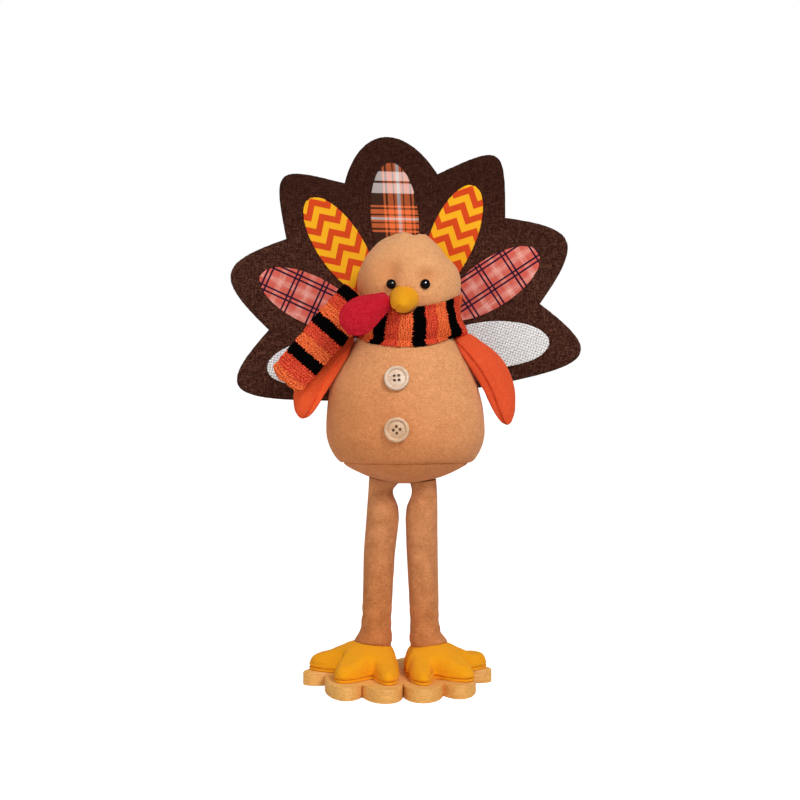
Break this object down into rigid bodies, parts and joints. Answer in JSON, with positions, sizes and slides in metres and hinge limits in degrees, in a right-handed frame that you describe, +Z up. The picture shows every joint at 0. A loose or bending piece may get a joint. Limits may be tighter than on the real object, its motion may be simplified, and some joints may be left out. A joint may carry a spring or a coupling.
{
  "type": "standing turkey figure",
  "caption": "Stuffed turkey standing on a scalloped wooden board, with a felt tail fan of patterned feathers, knitted scarf, wooden buttons and loose wings.",
  "frame": {"origin": "centre of the board's flat underside", "axes": "+Z up, the face looks along -Y, +X is to the viewer's right from the front"},
  "size_m": [0.296, 0.1424, 0.4553],
  "materials": {
    "board_wood": "satin",
    "dowel_wood": "plain",
    "screw_steel": "plated",
    "fleece": "short nap",
    "filling": "loose fibre",
    "yellow_felt": "felt",
    "orange_felt": "felt",
    "red_felt": "felt",
    "brown_felt": "felt",
    "scarf_knit": "knitted stripes",
    "plaid_cloth": "twill plaid",
    "zigzag_cloth": "printed zigzag",
    "check_cloth": "window check",
    "coarse_weave": "open plain weave",
    "card": "grey board",
    "button_wood": "smooth",
    "eye_bead": "polished"
  },
  "bodies": {
    "figure": {"base_board": "board_wood", "left_leg_screw": "screw_steel", "left_leg_dowel": "dowel_wood", "left_leg_sleeve": "fleece", "left_foot": "yellow_felt", "left_foot_sole": "yellow_felt", "left_eye": "eye_bead", "right_leg_screw": "screw_steel", "right_leg_dowel": "dowel_wood", "right_leg_sleeve": "fleece", "right_foot": "yellow_felt", "right_foot_sole": "yellow_felt", "right_eye": "eye_bead", "body_cover": "fleece", "body_bottom_panel": "fleece", "head_cover": "fleece", "body_filling": "filling", "head_filling": "filling", "beak": "yellow_felt", "scarf_wrap": "scarf_knit", "upper_button": "button_wood", "lower_button": "button_wood", "fan_front_felt": "brown_felt", "fan_back_felt": "brown_felt", "fan_stiffener": "card", "top_feather": "plaid_cloth", "upper_left_feather": "zigzag_cloth", "upper_right_feather": "zigzag_cloth", "left_feather": "check_cloth", "right_feather": "check_cloth", "lower_left_feather": "coarse_weave", "lower_right_feather": "coarse_weave"},
    "left_wing": {"left_wing": "orange_felt"},
    "right_wing": {"right_wing": "orange_felt"},
    "snood": {"snood": "red_felt"},
    "scarf_tail": {"scarf_tail": "scarf_knit"}
  },
  "joints": [
    {"name": "left_wing_swing", "type": "hinge", "parent": "figure", "child": "left_wing", "pos_m": [-0.04275, -0.005, 0.281], "axis": [0, 1, 0], "range_deg": [0, 60]},
    {"name": "right_wing_swing", "type": "hinge", "parent": "figure", "child": "right_wing", "pos_m": [0.05475, -0.005, 0.281], "axis": [0, -1, 0], "range_deg": [0, 60]},
    {"name": "snood_lift", "type": "hinge", "parent": "figure", "child": "snood", "pos_m": [-0.0139, -0.03659, 0.31873], "axis": [-0.6428, 0, 0.766], "range_deg": [0, 60]},
    {"name": "scarf_tail_lift", "type": "hinge", "parent": "figure", "child": "scarf_tail", "pos_m": [-0.047, -0.02213, 0.3046], "axis": [-0.7547, 0, 0.6561], "range_deg": [0, 45]}
  ]
}
